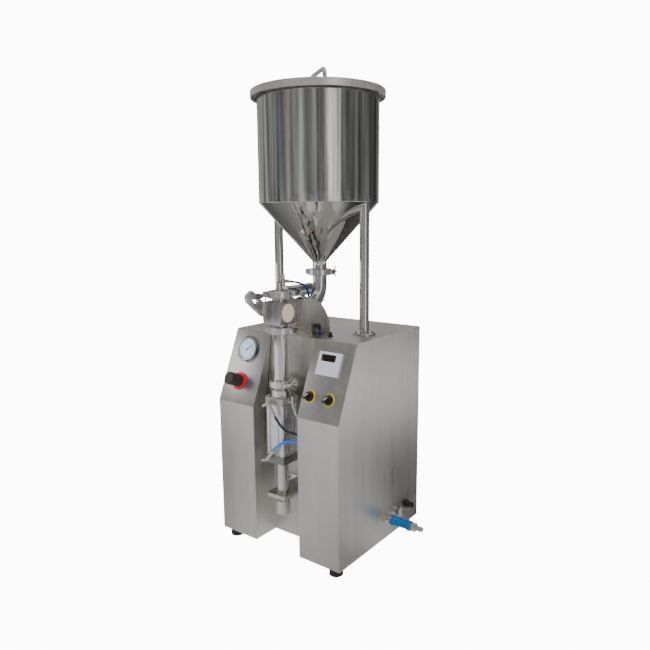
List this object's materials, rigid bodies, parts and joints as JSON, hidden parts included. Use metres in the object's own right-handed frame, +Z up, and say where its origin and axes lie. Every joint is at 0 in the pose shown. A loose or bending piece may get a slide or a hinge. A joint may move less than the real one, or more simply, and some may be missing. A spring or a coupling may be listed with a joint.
{
  "type": "piston liquid filler",
  "caption": "Benchtop pneumatic piston filler: steel cabinet, conical hopper on posts, rotary valve turned by an air cylinder, and a vertical metering piston in a front slot.",
  "frame": {"origin": "on the floor, at the centre of the four feet, under the hopper's axis", "axes": "+Z up, -Y out of the front with the slot, +X to the machine's right as seen from the front"},
  "size_m": [0.512, 0.4124, 1.2432],
  "materials": {
    "cabinet_steel": "brushed",
    "mirror_steel": "mirror polished",
    "satin_steel": "satin",
    "rubber_black": "matte",
    "silicone_white": "matte",
    "ptfe_cream": "matte",
    "aluminium_light": "anodised",
    "aluminium_dark": "anodised",
    "nickel_brass": "nickel plated",
    "black_plastic": "moulded",
    "red_plastic": "moulded",
    "yellow_plastic": "moulded",
    "counter_plastic": "moulded",
    "blue_sleeve": "anodised",
    "hose_black": "extruded",
    "hose_blue": "extruded",
    "hose_dark_blue": "extruded",
    "hose_clear": "extruded",
    "gauge_black": "gloss"
  },
  "bodies": {
    "machine_frame": {"actuator_body": "satin_steel", "air_inlet": "nickel_brass", "back_cover": "cabinet_steel", "base_pan": "cabinet_steel", "clamp_gaskets": "silicone_white", "counter_case": "counter_plastic", "cylinder_barrel": "aluminium_light", "cylinder_caps": "aluminium_dark", "fasteners": "satin_steel", "gauge_case": "mirror_steel", "hopper_clamp": "satin_steel", "hopper_posts": "mirror_steel", "hopper_shell": "mirror_steel", "hose_black": "hose_black", "hose_blue": "hose_blue", "hose_clear": "hose_clear", "hose_grommets": "rubber_black", "hose_neck": "hose_dark_blue", "hose_valve": "hose_dark_blue", "inlet_clamp": "satin_steel", "inlet_elbow": "mirror_steel", "left_front_panel": "cabinet_steel", "left_side_panel": "cabinet_steel", "lower_clamp": "satin_steel", "metering_tube": "mirror_steel", "neck_bracket": "satin_steel", "outlet_clamp": "satin_steel", "outlet_stub": "mirror_steel", "panel_fittings": "nickel_brass", "regulator_body": "red_plastic", "right_front_panel": "cabinet_steel", "right_side_panel": "cabinet_steel", "rod_gland": "satin_steel", "rotor_cover": "satin_steel", "rubber_feet": "rubber_black", "selector_bezels": "yellow_plastic", "slot_channel": "cabinet_steel", "speed_controllers": "nickel_brass", "stop_tube": "mirror_steel", "top_panel": "cabinet_steel", "upper_clamp": "satin_steel", "valve_body": "satin_steel", "valve_manifold": "aluminium_light"},
    "lid": {"hopper_lid": "mirror_steel"},
    "valve_rotor": {"valve_rotor": "ptfe_cream", "crank_arm": "aluminium_light"},
    "actuator_rod": {"actuator_rod": "satin_steel"},
    "metering_piston": {"metering_piston": "satin_steel"},
    "stop_screw": {"stop_screw": "satin_steel"},
    "volume_knob": {"volume_knob": "aluminium_light"},
    "gauge_needle": {"gauge_needle": "gauge_black"},
    "regulator_knob": {"regulator_knob": "black_plastic"},
    "selector_left": {"selector_knob_left": "black_plastic"},
    "selector_right": {"selector_knob_right": "black_plastic"},
    "inlet_sleeve": {"slide_sleeve": "blue_sleeve"},
    "hopper_nut": {"hopper_wing_nut": "satin_steel"},
    "inlet_nut": {"inlet_wing_nut": "satin_steel"},
    "outlet_nut": {"outlet_wing_nut": "satin_steel"},
    "upper_nut": {"upper_wing_nut": "satin_steel"},
    "lower_nut": {"lower_wing_nut": "satin_steel"}
  },
  "joints": [
    {"name": "lid_lift", "type": "slide", "parent": "machine_frame", "child": "lid", "axis": [0, 0, 1], "range_m": [0, 0.15]},
    {"name": "valve_turn", "type": "hinge", "parent": "machine_frame", "child": "valve_rotor", "pos_m": [0, -0.1645, 0.644], "axis": [-1, 0, 0], "range_deg": [0, 90]},
    {"name": "actuator_travel", "type": "slide", "parent": "machine_frame", "child": "actuator_rod", "axis": [0, 1, 0], "range_m": [0, 0.075]},
    {"name": "piston_stroke", "type": "slide", "parent": "machine_frame", "child": "metering_piston", "axis": [0, 0, 1], "range_m": [-0.06, 0]},
    {"name": "stop_screw_travel", "type": "slide", "parent": "machine_frame", "child": "stop_screw", "axis": [0, 0, 1], "range_m": [-0.034, 0]},
    {"name": "volume_knob_turn", "type": "hinge", "parent": "stop_screw", "child": "volume_knob", "pos_m": [0, -0.1645, 0.13], "axis": [0, 0, 1], "range_deg": [0, 3058]},
    {"name": "regulator_turn", "type": "hinge", "parent": "machine_frame", "child": "regulator_knob", "pos_m": [-0.141, -0.16986, 0.4474], "axis": [0, -0.9207, 0.3903], "range_deg": [-540, 540]},
    {"name": "gauge_needle_swing", "type": "hinge", "parent": "machine_frame", "child": "gauge_needle", "pos_m": [-0.139, -0.13591, 0.5275], "axis": [0, -0.9207, 0.3903], "range_deg": [-85, 185]},
    {"name": "selector_left_turn", "type": "hinge", "parent": "machine_frame", "child": "selector_left", "pos_m": [0.0986, -0.17084, 0.4451], "axis": [0, -0.9207, 0.3903], "range_deg": [0, 90]},
    {"name": "selector_right_turn", "type": "hinge", "parent": "machine_frame", "child": "selector_right", "pos_m": [0.157, -0.17084, 0.4451], "axis": [0, -0.9207, 0.3903], "range_deg": [0, 90]},
    {"name": "inlet_sleeve_slide", "type": "slide", "parent": "machine_frame", "child": "inlet_sleeve", "axis": [1, 0, 0], "range_m": [0, 0.006]},
    {"name": "hopper_wing_nut_turn", "type": "hinge", "parent": "machine_frame", "child": "hopper_nut", "pos_m": [0.03381, 0.00906, 0.733], "axis": [-0.2588, 0.9659, 0], "range_deg": [0, 1080]},
    {"name": "inlet_wing_nut_turn", "type": "hinge", "parent": "machine_frame", "child": "inlet_nut", "pos_m": [0, -0.0745, 0.609], "axis": [1, 0, 0], "range_deg": [0, 1080]},
    {"name": "outlet_wing_nut_turn", "type": "hinge", "parent": "machine_frame", "child": "outlet_nut", "pos_m": [-0.02475, -0.18925, 0.689], "axis": [0.7071, -0.7071, 0], "range_deg": [0, 1080]},
    {"name": "upper_wing_nut_turn", "type": "hinge", "parent": "machine_frame", "child": "upper_nut", "pos_m": [0.03381, -0.15544, 0.599], "axis": [-0.2588, 0.9659, 0], "range_deg": [0, 1080]},
    {"name": "lower_wing_nut_turn", "type": "hinge", "parent": "machine_frame", "child": "lower_nut", "pos_m": [0.03031, -0.182, 0.463], "axis": [0.5, 0.866, 0], "range_deg": [0, 1080]}
  ],
  "couplings": [
    {"joint": "actuator_travel", "follows": "valve_turn", "m_per_rad": 0.0477},
    {"joint": "stop_screw_travel", "follows": "volume_knob_turn", "m_per_rad": -0.0006366}
  ]
}
